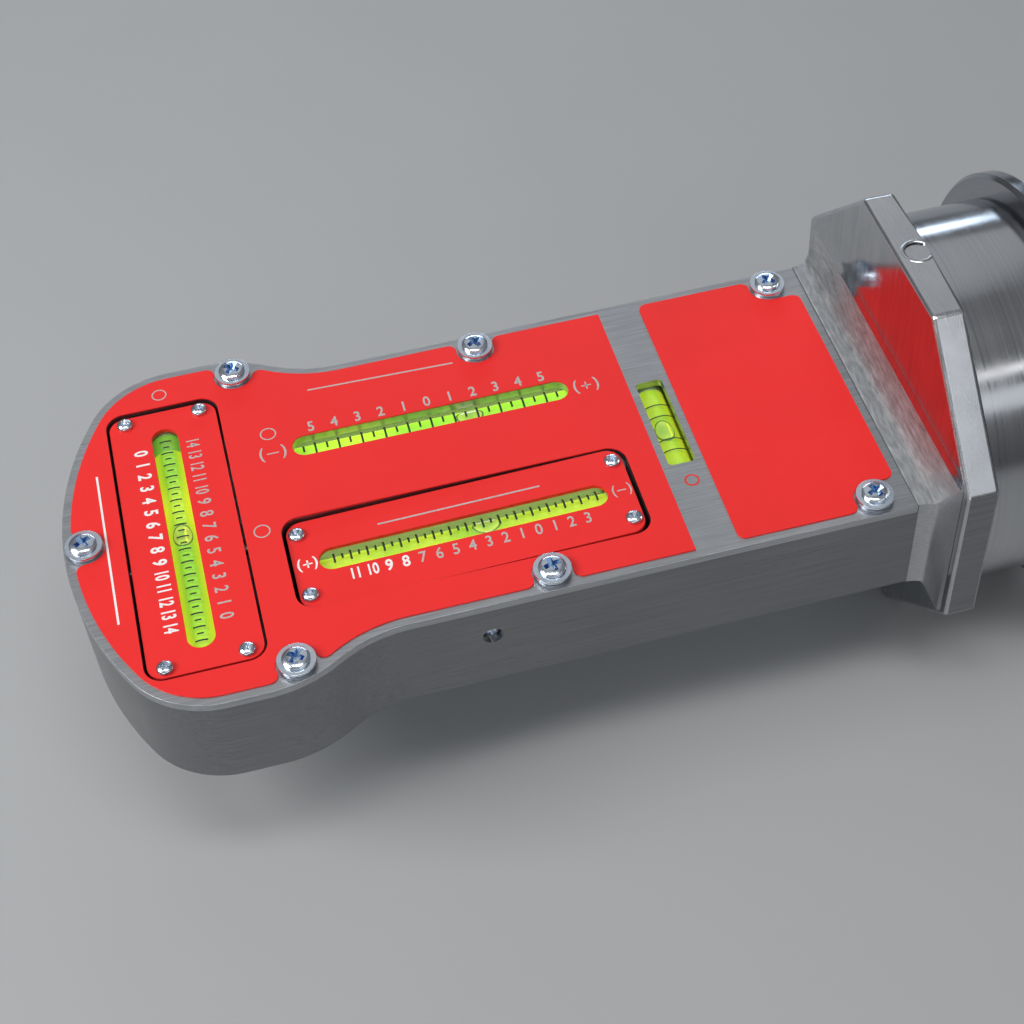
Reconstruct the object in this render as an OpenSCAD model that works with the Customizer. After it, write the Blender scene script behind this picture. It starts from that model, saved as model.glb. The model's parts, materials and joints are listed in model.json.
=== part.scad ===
// Camber caster gauge with a magnetic head.
// The origin is the centre of the magnetic face. +X points out of that face,
// +Z out of the printed face, and the rounded head lies at the -X end.
// Lengths are in millimetres and angles in degrees.

/* [Body] */
// Width of the arm
arm_w = 75; // [72:0.5:80]
// Thickness of the arm, cover plate included
body_t = 25; // [24.5:0.5:28]
// Height of the printed face above the magnet's axis
face_h = 11.5; // [11:0.5:13]
// Length from the flange's back face to the rounded end
arm_l = 177; // [177:0.5:190]
// Width of the rounded head
head_w = 92; // [90:0.5:96]
// Radius of the head's end
head_end_r = 72; // [66:1:84]
// Radius of the head's corners
head_corner_r = 20; // [16:0.5:24]
// Distance from the head's end to where the neck starts to narrow
neck_at = 34.6; // [33:0.2:37]
// Length of the S-shaped neck
neck_l = 30; // [26:0.5:34]
// Thickness of the pocket floors
floor_t = 4; // [3.6:0.1:5]
// Thickness of the cover plate
cover_t = 1.8; // [1.5:0.1:2.2]
// Bare cast strip between the cover plate and the flange
cast_strip = 6.5; // [5:0.5:10]

// Length of the pocket that lightens the casting near the flange
root_pocket_l = 30; // [20:1:31]
// Width of that pocket
root_pocket_w = 50; // [40:1:54]

/* [Flange] */
// Distance across the flange's flats
flange_af = 90; // [88:0.5:100]
// Thickness of the flange
flange_t = 7; // [6.5:0.25:9]
// Radius of the sweep where the arm's top and bottom rise to the flange
root_sweep_r = 20; // [14:1:26]
// Length of that sweep along the arm
root_sweep_l = 3.3; // [2.5:0.1:3.8]
// Radius where the arm's sides meet the flange
side_fillet_r = 6.4; // [5:0.1:6.6]
// Diameter of the round mark cast into the flange's top flat
cast_mark_d = 5.6; // [4:0.2:6]
// Depth of that mark
cast_mark_h = 0.4; // [0.2:0.1:0.6]
// Diameter of the socket that centres the magnet housing
spigot_d = 40; // [36:1:44]
// Depth of that socket
spigot_h = 4; // [3:0.5:4.5]

/* [Red faces] */
// Thickness of the printed faces
label_t = 0.3; // [0.2:0.05:0.5]
// Bare metal left round the faces
label_margin = 1.8; // [1.2:0.1:2.5]
// Distance from the head's end to the dial face's straight edge
dial_face_l = 123.8; // [121:0.2:124.4]
// Distance from the head's end to the title face
title_face_at = 133; // [132.6:0.2:136]
// Distance from the title face to the end of the cover plate
title_face_gap = 1.8; // [1:0.2:3]
// Radius of the title face's corners
title_face_r = 1.6; // [1:0.2:3]
// Radius of the cut-outs round the cover screws
scallop_r = 4.2; // [4.2:0.1:4.5]
// Radius at the mouths of those cut-outs
mouth_r = 1.8; // [1:0.1:2]

/* [Tilting dials] */
// Length of a dial window
window_l = 73.6; // [73:0.2:75]
// Width of a dial window
window_w = 24.4; // [23.8:0.2:24.8]
// Corner radius of a dial window
window_r = 4; // [3:0.25:5]
// Gap between a dial plate and its window, along its length
plate_gap_l = 0.95; // [0.8:0.05:1.2]
// Gap between a dial plate and its window, across its width
plate_gap_w = 0.6; // [0.4:0.05:0.8]
// Thickness of a dial plate
plate_t = 1; // [0.8:0.1:1.4]
// How far a dial plate lies below the printed face
plate_drop = 0.6; // [0.4:0.05:0.8]
// Height of the tilting axes above the magnet's axis
pivot_h = 1.2; // [0.8:0.1:1.5]
// Length of a reading slot
slot_l = 60.8; // [56:0.2:61]
// Width of a reading slot
slot_w = 5.7; // [5:0.1:6.4]
// Distance of a dial plate's slot from the plate's middle
slot_off = 0.2; // [-0.4:0.1:0.6]
// Distance from the head's end to the middle of the kingpin dial
kingpin_at = 24.5; // [24.2:0.1:25]
// Distance of the kingpin dial from the arm's centreline
kingpin_y = -0.9; // [-1.2:0.1:0]
// Distance from the head's end to the middle of the castor dial
castor_at = 80.8; // [80:0.2:82]
// Distance of the castor dial from the arm's centreline
castor_y = -16.2; // [-16.4:0.1:-16]
// Distance of the camber slot from the arm's centreline
camber_y = 15.4; // [15:0.1:16]
// Angle at which the castor dial stands, its head end low
castor_set = 1; // [0:0.25:2]
// Angle that a dial can tilt each way from level
tilt_max = 4; // [3:0.5:4]

/* [Vials] */
// Outside diameter of the vials
vial_d = 9; // [8.6:0.1:9.4]
// Distance of a dial's vial from the plate's middle
vial_off = 0.3; // [0:0.1:0.6]
// Length of a long vial
vial_l = 65; // [64:0.5:66]
// Wall of the vials
vial_wall = 0.8; // [0.6:0.1:1.2]
// Length of a vial's end plug
plug_l = 2; // [1.5:0.1:2.5]
// Length of a bubble
bubble_l = 6.2; // [5:0.2:9]
// Diameter of a bubble
bubble_d = 4.4; // [3.6:0.1:4.6]
// Length of the level vial
level_vial_l = 29; // [28:0.5:30]
// Length of the level window
level_window_l = 24.8; // [22:0.2:26]
// Width of the level window
level_window_w = 5.9; // [5:0.1:6.4]
// Distance from the head's end to the level vial
level_at = 128.4; // [128:0.1:128.8]

/* [Screws] */
// Head diameter of the cover screws
screw_head_d = 5.7; // [5:0.1:6]
// Head height of the cover screws
screw_head_h = 1.2; // [1:0.1:1.6]
// Shank diameter of the cover screws
screw_d = 3; // [2.6:0.1:3.2]
// Length of the cover screws under the head
screw_l = 9; // [8:0.5:9.5]
// Diameter of the plain washers
washer_d = 7.9; // [7:0.1:8]
// Thickness of the plain washers
washer_t = 0.6; // [0.5:0.1:0.8]
// Diameter of the spring washers
spring_washer_d = 6.8; // [6.2:0.1:7]
// Thickness of the spring washers
spring_washer_t = 1; // [0.7:0.1:1.2]
// Distance of the arm's cover screws from its centreline
arm_screw_y = 33; // [32.5:0.1:33.2]
// Distance of the neck's cover screws in from the head's widest line
neck_screw_in = 5.2; // [5:0.1:5.6]
// Distance from the head's end to those screws
neck_screw_at = 41.4; // [41:0.1:41.8]
// Distance from the head's end to the end screw
end_screw_at = 4.3; // [4.1:0.1:4.6]
// Distance from the head's end to the middle pair
mid_screw_at = 94.7; // [94:0.1:95.4]
// Distance from the flange's back face to the last pair
root_screw_at = 14.2; // [13.6:0.2:15]
// Head diameter of the dial plate screws
plate_screw_head_d = 3.5; // [3.2:0.1:3.8]
// Shank diameter of the dial plate screws
plate_screw_d = 1.9; // [1.6:0.1:2]
// Distance of the dial plate screws from the plate's ends
plate_screw_end = 2.2; // [2.1:0.05:2.4]
// Distance of the dial plate screws from the plate's sides
plate_screw_side = 3.5; // [3.2:0.1:3.6]

/* [Adjusters] */
// Distance of an adjusting bolt from its dial's tilting axis
lever = 26; // [24:0.5:27]
// Diameter of the knurled head
knob_d = 15; // [13:0.5:17]
// Height of the knurled head
knob_h = 8; // [6:0.5:10]
// Thread pitch of an adjusting bolt
bolt_pitch = 1; // [0.8:0.05:1.25]
// Thread diameter of an adjusting bolt
bolt_d = 5; // [4.5:0.1:5.2]
// Side of the square pusher nut
nut_w = 9; // [8.6:0.1:9.4]
// Height of the pusher nut
nut_h = 6.4; // [6:0.1:6.6]
// Diameter of the tilting pivots
pivot_d = 2.5; // [2:0.1:3]
// How far a pivot reaches into a carrier
pivot_in = 3.5; // [3:0.1:3.8]
// Outside diameter of a return spring
spring_d = 7; // [6:0.25:8]
// Wire diameter of a return spring
spring_wire = 0.8; // [0.6:0.05:0.9]
// Turns of a return spring
spring_turns = 5; // [4:1:6]

/* [Magnetic head] */
// Diameter of the magnet housing
housing_d = 81.6; // [80:0.2:84]
// Length of the magnet housing
housing_l = 24; // [22:0.5:28]
// Thickness of the housing's bottom
housing_floor = 7; // [6.5:0.25:8]
// Diameter of the housing's bore
housing_bore = 66; // [64:0.5:67]
// Diameter of the face ring
face_ring_d = 92.4; // [90:0.2:98]
// Thickness of the face ring
face_ring_t = 4.2; // [3.6:0.1:5]
// Chamfer of the turned edges
turned_chamfer = 0.8; // [0.4:0.1:1.2]
// Diameter of the inner pole
pole_d = 50; // [46:1:54]
// Thickness of the inner pole's disc
pole_t = 9; // [8:0.5:10]
// Outside diameter of the ring magnet
magnet_d = 61; // [58:0.5:63]
// Diameter of the pole's neck, which the ring magnet surrounds
neck_d = 20; // [18:0.5:22]
// Diameter of the centring pin
pin_d = 8; // [6:0.5:9]
// Length of the pin's parallel part outside the face
pin_out = 3; // [2.5:0.5:4]
// Length of the pin's conical nose
nose_l = 4; // [3:0.5:4.5]
// Outside diameter of the pin's collar
collar_d = 11.5; // [11:0.1:12]

/* [Fits] */
// Radial clearance of the running fits
run_gap = 0.05; // [0.02:0.01:0.08]
// Gap between faces that only face each other
face_gap = 0.3; // [0.2:0.05:0.4]

/* [Hidden] */

$fn = 64;
over = 1;                                   // how far a cut runs past a face
arc_step = 2.5;                             // degrees between points of an outline's arc
gap = face_gap;

// Stations along the gauge
flange_front = -face_ring_t - housing_l;    // flange face that meets the housing
root_x = flange_front - flange_t;           // flange's back face
head_x = root_x - arm_l;                    // rounded end
cover_end = root_x - cast_strip;
kingpin_x = head_x + kingpin_at;
castor_x = head_x + castor_at;
level_x = head_x + level_at;

// Levels
face_z = face_h;
sheet_z = face_z - label_t;                 // top of the cover plate
cast_z = sheet_z - cover_t;                 // top of the casting under it
under_z = face_z - body_t;                  // underside of the arm
floor_z = under_z + floor_t;

root_pocket_at = 4.5;                       // pocket's distance from the cover's end
root_sweep_h = sqrt(root_sweep_r * root_sweep_r
    - (root_sweep_r - root_sweep_l) * (root_sweep_r - root_sweep_l));
root_margin = 1.2;                          // flange left bare round the swollen root
root_tuck = 0.05;                           // how far its arcs end inside the flange

// Dial plates and carriers, measured from the tilting axis
plate_l = window_l - 2 * plate_gap_l;
plate_w = window_w - 2 * plate_gap_w;
plate_r = window_r - plate_gap_w;
plate_top = face_z - plate_drop - pivot_h;
carrier_top = plate_top - plate_t;
carrier_side = 0.4;                         // carrier set in from the plate's edges
carrier_l = plate_l - 2 * carrier_side;
carrier_w = plate_w - 2 * carrier_side;
carrier_web = 2.4;                          // metal left under the vial
vial_play = 0.1;                            // clearance round a vial in its trough
vial_axis = carrier_top - vial_play - vial_d / 2;
carrier_bottom = vial_axis - vial_d / 2 - vial_play - carrier_web;
plate_screw_x = plate_l / 2 - plate_screw_end;
plate_screw_y = plate_w / 2 - plate_screw_side;
plate_screw_head_h = 1.3;
plate_screw_l = 5;

// Where the bubbles stand at rest
camber_reading = 8.5;
castor_reading = 4.7;
kingpin_reading = 1.1;

// Fixed vials
fixed_vial_z = cast_z - vial_play - vial_d / 2;
camber_vial_rise = 1;                       // how far it lies beyond its slot's middle
camber_vial_y = camber_y + camber_vial_rise;
bubble_up = vial_d / 2 - vial_wall - bubble_d / 2 - 0.15;

// Cover screws: [x, y] of each
neck_screw_y = head_w / 2 - neck_screw_in;
cover_screw_places = [[head_x + end_screw_at, 0],
    [head_x + neck_screw_at, neck_screw_y], [head_x + neck_screw_at, -neck_screw_y],
    [head_x + mid_screw_at, arm_screw_y], [head_x + mid_screw_at, -arm_screw_y],
    [root_x - root_screw_at, arm_screw_y], [root_x - root_screw_at, -arm_screw_y]];
screw_seat_z = sheet_z + spring_washer_t + washer_t;
screw_hole_deep = screw_l - spring_washer_t - washer_t - cover_t;

// Adjusters, measured from the tilting axis
nut_top = carrier_bottom - gap;             // with the dial level
lift = lever * tan(tilt_max);
bolt_end = carrier_bottom - lift - gap - 0.3;
washer_gap_t = 0.5;                         // friction washer under the knob
clip_t = 0.8;
clip_d = 8.4;
journal_d = 6;                              // bolt's plain part, in the floor
well_deep = 1.2;                            // square recess in the floor
well_wall = 1.6;
well_top = floor_z + 4.2;
nut_play = 0.1;
nut_crown_r = 29;                           // crown that the tilting carrier rolls on
pivot_thread_d = 3;
pivot_head_d = 3.5;
pivot_head_h = 1.4;
pivot_sink = 2.2;                           // depth of the pivot screw's counterbore
pin_hold = 7;                               // length of a pivot pin held in the casting

// Magnetic head
housing_back = flange_front;
cup_floor = housing_back + housing_floor;
pole_back = -pole_t;                        // back of the pole's disc
stack_play = 0.1;
housing_screw_pcd = 44;
housing_screw_d = 4;
housing_screw_head_d = 7;
housing_screw_head_h = 4;
housing_screw_l = 8;
housing_tap_deep = 5.5;
housing_screw_angles = [45, 135, 225, 315];
ring_screw_pcd = (housing_bore + housing_d) / 2;
ring_screw_d = 3;
ring_screw_head_d = 5.6;
ring_screw_l = 9;
ring_cone_h = 1.6;
ring_screw_sunk = 0.1;                      // how far the screws lie below the magnetic face
pin_back = -(pole_t - 2);                   // the pin's stop inside the pole
collar_t = 2.4;
pin_tail_d = 5;
pin_tail_l = 6;
pin_travel = pin_out + nose_l;              // the pin goes in flush with the face
pin_play = 0.1;
pin_stop = pin_back - pin_play;             // front of the pin's collar at rest
pin_groove_l = 0.6;                         // relief groove behind the magnetic face
pin_groove_t = 0.3;
seat_t = 3;
seat_front = pin_stop - collar_t - pin_tail_l - pin_travel - 0.5;
pin_spring_wire = 0.9;
pin_spring_d = 9.4;
pin_spring_turns = 5;
pin_bore = 12;                              // bore behind the pin's guide
cast_mark_y = 0.5;                          // round mark on the flange's top flat

// ---------------------------------------------------------------- shapes

// Rectangle with rounded corners, centred
module round_rect(l, w, r) {
    square([l - 2 * r, w], center = true);
    square([l, w - 2 * r], center = true);
    for (sx = [-1, 1], sy = [-1, 1])
        translate([sx * (l / 2 - r), sy * (w / 2 - r)]) circle(r);
}

// Slot with round ends along X, centred
module slot(l, w) {
    square([l - w, w], center = true);
    for (s = [-1, 1]) translate([s * (l - w) / 2, 0]) circle(d = w);
}

// Points on an arc round c from angle a0 to angle a1
function arc(c, r, a0, a1) =
    let (n = ceil(abs(a1 - a0) / arc_step))
    [for (i = [0 : n]) c + r * [cos(a0 + (a1 - a0) * i / n), sin(a0 + (a1 - a0) * i / n)]];

// Plan of the head and arm out to x_end, drawn in by inset all round: a round
// end, a corner, and a neck that bends outwards and then inwards
module outline(x_end, inset = 0) {
    end_c = [head_x + head_end_r, 0];
    corner_y = head_w / 2 - head_corner_r;
    corner_x = end_c[0] - sqrt(pow(head_end_r - head_corner_r, 2) - corner_y * corner_y);
    end_turn = atan2(corner_y, end_c[0] - corner_x);
    neck_x = head_x + neck_at;
    rise = (head_w - arm_w) / 2;
    bend = (neck_l * neck_l + rise * rise) / (4 * rise);
    neck_turn = asin(neck_l / 2 / bend);
    edge = concat(
        arc(end_c, head_end_r - inset, 180, 180 - end_turn),
        arc([corner_x, corner_y], head_corner_r - inset, 180 - end_turn, 90),
        arc([neck_x, head_w / 2 - bend], bend - inset, 90, 90 - neck_turn),
        arc([neck_x + neck_l, arm_w / 2 + bend], bend + inset, 270 - neck_turn, 270),
        [[x_end, arm_w / 2 - inset]]);
    polygon(concat(edge, [for (i = [len(edge) - 1 : -1 : 1]) [edge[i][0], -edge[i][1]]]));
}

// Places its children at every cover screw
module at_cover_screws() {
    for (p = cover_screw_places) translate([p[0], p[1], 0]) children();
}

// Puts a dial's pieces in place: its X along the vial, its origin on the axis
module at_castor(tilt = castor_set) {
    translate([castor_x, castor_y, pivot_h]) rotate([0, -tilt, 0]) children();
}
module at_kingpin() {
    translate([kingpin_x, kingpin_y, pivot_h]) rotate([0, 0, 90]) children();
}

// Pan head with a cross recess, its seat at z = 0, and its shank below
module pan_screw(head_d, head_h, d, l, recess) {
    edge = head_h * 0.45;
    crown = head_h - edge;
    crown_r = (head_d * head_d / 4 + crown * crown) / (2 * crown);
    difference() {
        union() {
            cylinder(d = head_d, h = edge);
            intersection() {
                translate([0, 0, head_h - crown_r]) sphere(crown_r, $fn = 96);
                cylinder(d = head_d, h = head_h + over);
            }
        }
        for (a = [0, 90]) rotate([0, 0, a])
            translate([-recess / 2, -recess / 8, head_h * 0.4])
                cube([recess, recess / 4, head_h]);
    }
    translate([0, 0, -l]) cylinder(d = d, h = l);
}

// Tube closed by two plugs, along X
module vial_tube(l, d) {
    rotate([0, 90, 0]) difference() {
        cylinder(d = d, h = l, center = true);
        cylinder(d = d - 2 * vial_wall, h = l + over, center = true);
    }
}
module vial_plugs(l, d) {
    for (s = [-1, 1]) translate([s * (l - plug_l) / 2, 0, 0]) rotate([0, 90, 0])
        cylinder(d = d - 2 * vial_wall - 0.04, h = plug_l, center = true);
}
module bubble(l) {
    translate([0, 0, bubble_up]) rotate([0, 90, 0]) {
        cylinder(d = bubble_d, h = l - bubble_d, center = true);
        for (s = [-1, 1]) translate([0, 0, s * (l - bubble_d) / 2])
            sphere(d = bubble_d);
    }
}

// Helical spring along Z: one tube with flat ends
function coil_ring(a, r, wire, rise, sides) = [for (k = [0 : sides - 1])
    let (b = 360 * k / sides, q = r + wire / 2 * cos(b))
    [q * cos(a), q * sin(a), rise * a / 360 + wire / 2 * sin(b)]];
module coil(d, wire, turns, h) {
    sides = 6;
    steps = 12 * turns;
    r = (d - wire) / 2;
    rise = (h - wire) / turns;
    points = [for (i = [0 : steps])
        each coil_ring(360 * turns * i / steps, r, wire, rise, sides)];
    walls = [for (i = [0 : steps - 1], k = [0 : sides - 1])
        let (a = i * sides + k, b = i * sides + (k + 1) % sides)
        each [[a, a + sides, b], [b, a + sides, b + sides]]];
    ends = [for (k = [1 : sides - 2])
        each [[0, k, k + 1],
            [steps * sides, steps * sides + k + 1, steps * sides + k]]];
    translate([0, 0, wire / 2])
        polyhedron(points, concat(walls, ends));
}

// Disc or ring turned on the X axis, from x0 to x1, chamfered outside
module turned(x0, x1, d, bore, c0, c1) {
    rotate([0, 90, 0]) rotate_extrude($fn = 180)
        polygon([[bore / 2, x0], [d / 2 - c0, x0], [d / 2, x0 + c0],
            [d / 2, x1 - c1], [d / 2 - c1, x1], [bore / 2, x1]]);
}

// ---------------------------------------------------------------- casting

// Socket for one dial, cut from the top: pocket, bolt and spring seats
module dial_pocket() {
    translate([0, 0, floor_z - pivot_h]) linear_extrude(body_t)
        round_rect(window_l, window_w, window_r);
}
// Well that keeps a pusher nut from turning
module nut_well() {
    outer = nut_w + 2 * well_wall;
    difference() {
        translate([lever - outer / 2, -outer / 2, floor_z - pivot_h - over])
            cube([outer, outer, well_top - floor_z + over]);
        nut_cut();
    }
}
module nut_cut() {
    side = nut_w + 2 * nut_play;
    translate([lever - side / 2, -side / 2, floor_z - well_deep - pivot_h])
        cube([side, side, body_t]);
    translate([lever, 0, floor_z - well_deep - clip_t - 2 * nut_play - pivot_h])
        cylinder(d = clip_d + 4 * nut_play, h = body_t);
    translate([lever, 0, under_z - over - pivot_h])
        cylinder(d = journal_d + 2 * run_gap, h = body_t);
}

// Where the arm swells into the flange: its sides in plan, its top and bottom
// in a long low sweep, and nothing past the flange's own outline
module root_blend() {
    tall = body_t + 2 * root_sweep_h;
    wide = arm_w + 2 * side_fillet_r;
    intersection() {
        translate([0, 0, under_z - root_sweep_h]) linear_extrude(tall) for (s = [0, 1])
            mirror([0, s]) root_corner(side_fillet_r, side_fillet_r, arm_w / 2);
        rotate([90, 0, 0]) linear_extrude(wide, center = true) union() {
            root_corner(root_sweep_l, root_sweep_r, face_z);
            mirror([0, 1]) root_corner(root_sweep_l, root_sweep_r, -under_z);
        }
        rotate([0, 90, 0]) rotate([0, 0, 22.5]) translate([0, 0, root_x - side_fillet_r])
            cylinder(d = (flange_af - 2 * root_margin) / cos(22.5), h = side_fillet_r + over, $fn = 8);
    }
}
// Half of a section through the blend: from the axis out to the level of the
// arm's face, and from there along an arc of radius r that begins l before the
// flange and ends a little inside it
module root_corner(l, r, level) {
    start = l + root_tuck;
    rise = sqrt(r * r - (r - start) * (r - start));
    translate([root_x - side_fillet_r, -over]) square([side_fillet_r + over, level + over]);
    difference() {
        translate([root_x - l, level - over]) square([l + over, rise + over]);
        translate([root_x - r + root_tuck, level + rise]) circle(r);
    }
}

module body_casting() {
    color("silver") difference() {
        union() {
            translate([0, 0, under_z]) linear_extrude(cast_z - under_z)
                outline(root_x + flange_t / 2);
            // cast strip that stands level with the cover plate
            translate([cover_end, -arm_w / 2, cast_z - over])
                cube([cast_strip + flange_t / 2, arm_w, face_z - cast_z + over]);
            root_blend();
            // eight-sided flange
            rotate([0, 90, 0]) rotate([0, 0, 22.5])
                translate([0, 0, root_x])
                    cylinder(d = flange_af / cos(22.5), h = flange_t, $fn = 8);
        }
        difference() {
            at_castor(0) dial_pocket();
            at_castor(0) nut_well();
        }
        difference() {
            at_kingpin() dial_pocket();
            at_kingpin() nut_well();
        }
        at_castor(0) nut_cut();
        at_kingpin() nut_cut();
        // troughs of the fixed vials
        translate([castor_x, camber_vial_y, fixed_vial_z]) vial_trough(vial_l);
        translate([level_x, 0, fixed_vial_z]) rotate([0, 0, 90]) vial_trough(level_vial_l);
        // pocket that lightens the casting under the title face
        translate([cover_end - root_pocket_l - root_pocket_at, -root_pocket_w / 2, floor_z])
            cube([root_pocket_l, root_pocket_w, body_t]);
        // tapped holes for the cover screws
        at_cover_screws() translate([0, 0, cast_z - screw_hole_deep - gap])
            cylinder(d = screw_d + 2 * run_gap, h = body_t);
        // pivots
        at_castor(0) pivot_holes(arm_w / 2 + castor_y);
        at_kingpin() mirror([0, 1, 0]) pivot_holes(kingpin_at);
        // magnet side: spigot socket, screw holes, spring seat
        translate([flange_front - spigot_h, 0, 0]) rotate([0, 90, 0])
            cylinder(d = spigot_d + 2 * run_gap, h = spigot_h + over);
        for (a = housing_screw_angles) rotate([a, 0, 0])
            translate([flange_front - housing_tap_deep, 0, 0]) rotate([0, 90, 0])
                translate([-housing_screw_pcd / 2, 0, 0])
                    cylinder(d = housing_screw_d + 2 * run_gap, h = housing_tap_deep + over);
        // round mark in the flange's top flat
        translate([flange_front - cast_mark_d * 0.42, cast_mark_y, flange_af / 2 - cast_mark_h])
            cylinder(d = cast_mark_d, h = over);
    }
}

module vial_trough(l) {
    d = vial_d + 2 * vial_play;
    rotate([0, 90, 0]) cylinder(d = d, h = l + 0.4, center = true);
    translate([-l / 2 - 0.2, -d / 2, 0]) cube([l + 0.4, d, body_t]);
}

// Holes for the outer pivot screw and the inner pin; out is the distance
// from the dial's middle to the outside of the casting, towards -Y
module pivot_holes(out) {
    rotate([90, 0, 0]) {
        cylinder(d = pivot_thread_d + 2 * run_gap, h = out + over);
        translate([0, 0, out - pivot_sink])
            cylinder(d = pivot_head_d + 0.8, h = pivot_sink + over);
    }
    rotate([-90, 0, 0]) cylinder(d = pivot_d + 2 * run_gap, h = carrier_w / 2 + pin_hold);
}

// Pivot screw from the outside of the casting into the carrier
module pivot_screw(out) {
    seat = out - pivot_sink;
    tip = carrier_w / 2 - pivot_in;
    thread_end = window_w / 2 + gap;
    rotate([90, 0, 0]) {
        translate([0, 0, seat]) pan_screw(pivot_head_d, pivot_head_h, pivot_thread_d,
            seat - thread_end, 2.2);
        translate([0, 0, tip]) cylinder(d = pivot_d, h = thread_end - tip + over / 2);
    }
}
module pivot_pin() {
    tip = carrier_w / 2 - pivot_in;
    rotate([-90, 0, 0]) translate([0, 0, tip])
        cylinder(d = pivot_d, h = carrier_w / 2 + pin_hold - gap - tip);
}

// ---------------------------------------------------------------- cover and faces

module dial_windows() {
    translate([castor_x, castor_y]) round_rect(window_l, window_w, window_r);
    translate([kingpin_x, kingpin_y]) rotate(90) round_rect(window_l, window_w, window_r);
    translate([castor_x, camber_y]) slot(slot_l, slot_w);
}

module cover_plate() {
    color("gainsboro") translate([0, 0, cast_z]) linear_extrude(cover_t) difference() {
        outline(cover_end - 0.05);
        dial_windows();
        translate([level_x, 0]) round_rect(level_window_w, level_window_l, 1);
        for (p = cover_screw_places) translate(p) circle(d = screw_d + 0.4);
    }
}

// Rounds the outside corners of a face's outline
module round_mouths() {
    offset(r = mouth_r, $fn = 40) offset(delta = -mouth_r) children();
}
module dial_face() {
    color("red") translate([0, 0, sheet_z]) linear_extrude(label_t) difference() {
        round_mouths() difference() {
            outline(head_x + dial_face_l + 2 * mouth_r, label_margin);
            for (p = cover_screw_places) translate(p) circle(scallop_r);
        }
        translate([head_x + dial_face_l, -arm_w / 2]) square([arm_w, arm_w]);
        dial_windows();
    }
}

module title_face() {
    l = cover_end - title_face_gap - head_x - title_face_at;
    w = arm_w - 2 * label_margin;
    sx = root_x - root_screw_at;
    color("firebrick") translate([0, 0, sheet_z]) linear_extrude(label_t) round_mouths()
        difference() {
            translate([head_x + title_face_at + l / 2, 0]) round_rect(l, w, title_face_r);
            for (s = [-1, 1]) {
                translate([sx, s * arm_screw_y]) circle(scallop_r);
                translate([sx, s * arm_screw_y - scallop_r])
                    square([3 * scallop_r, 2 * scallop_r]);
            }
        }
}

module cover_screws() {
    color("lightsteelblue") at_cover_screws() translate([0, 0, screw_seat_z])
        pan_screw(screw_head_d, screw_head_h, screw_d, screw_l - gap, 3.4);
}
module cover_plain_washers() {
    color("silver") at_cover_screws()
        translate([0, 0, screw_seat_z - washer_t]) linear_extrude(washer_t) difference() {
            circle(d = washer_d);
            circle(d = screw_d + 0.3);
        }
}
module cover_spring_washers() {
    color("gray") at_cover_screws() translate([0, 0, sheet_z]) linear_extrude(spring_washer_t)
        difference() {
            circle(d = spring_washer_d);
            circle(d = screw_d + 0.3);
            rotate(35) translate([0, -0.3]) square([spring_washer_d, 0.6]);
        }
}

// ---------------------------------------------------------------- vials

module camber_vial() {
    color("yellowgreen") translate([castor_x, camber_vial_y, fixed_vial_z])
        vial_tube(vial_l, vial_d);
}
module camber_vial_plugs() {
    color("white") translate([castor_x, camber_vial_y, fixed_vial_z]) vial_plugs(vial_l, vial_d);
}
module camber_bubble() {
    color("ivory") translate([castor_x + camber_reading, camber_vial_y, fixed_vial_z])
        bubble(bubble_l);
}

module level_vial() {
    color("yellowgreen") translate([level_x, 0, fixed_vial_z]) rotate([0, 0, 90])
        vial_tube(level_vial_l, vial_d);
}
module level_vial_plugs() {
    color("white") translate([level_x, 0, fixed_vial_z]) rotate([0, 0, 90])
        vial_plugs(level_vial_l, vial_d);
}
module level_bubble() {
    color("ivory") translate([level_x, 0, fixed_vial_z]) rotate([0, 0, 90])
        bubble(bubble_l);
}

// ---------------------------------------------------------------- dials

module dial_plate() {
    color("red") translate([0, 0, carrier_top]) linear_extrude(plate_t) difference() {
        round_rect(plate_l, plate_w, plate_r);
        translate([0, slot_off]) slot(slot_l, slot_w);
        for (sx = [-1, 1], sy = [-1, 1])
            translate([sx * plate_screw_x, sy * plate_screw_y]) circle(d = plate_screw_d + 0.3);
    }
}
module dial_plate_screws() {
    color("silver") for (sx = [-1, 1], sy = [-1, 1])
        translate([sx * plate_screw_x, sy * plate_screw_y, plate_top])
            pan_screw(plate_screw_head_d, plate_screw_head_h, plate_screw_d,
                plate_screw_l, 2.2);
}
module dial_carrier() {
    color("darkgray") difference() {
        translate([0, 0, carrier_bottom]) linear_extrude(carrier_top - carrier_bottom)
            round_rect(carrier_l, carrier_w, plate_r - carrier_side);
        translate([0, vial_off, vial_axis]) vial_trough(vial_l);
        for (sx = [-1, 1], sy = [-1, 1])
            translate([sx * plate_screw_x, sy * plate_screw_y,
                    carrier_top - plate_screw_l + plate_t - gap])
                cylinder(d = plate_screw_d + 2 * run_gap, h = plate_screw_l);
        for (s = [-1, 1]) rotate([s * 90, 0, 0])
            translate([0, 0, carrier_w / 2 - pivot_in - gap])
                cylinder(d = pivot_d + 2 * run_gap, h = pivot_in + gap + over);
    }
}
module dial_vial() {
    color("yellowgreen") translate([0, vial_off, vial_axis]) vial_tube(vial_l, vial_d);
}
module dial_vial_plugs() {
    color("white") translate([0, vial_off, vial_axis]) vial_plugs(vial_l, vial_d);
}
module dial_bubble(reading) {
    color("ivory") translate([reading, vial_off, vial_axis]) bubble(bubble_l);
}

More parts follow.
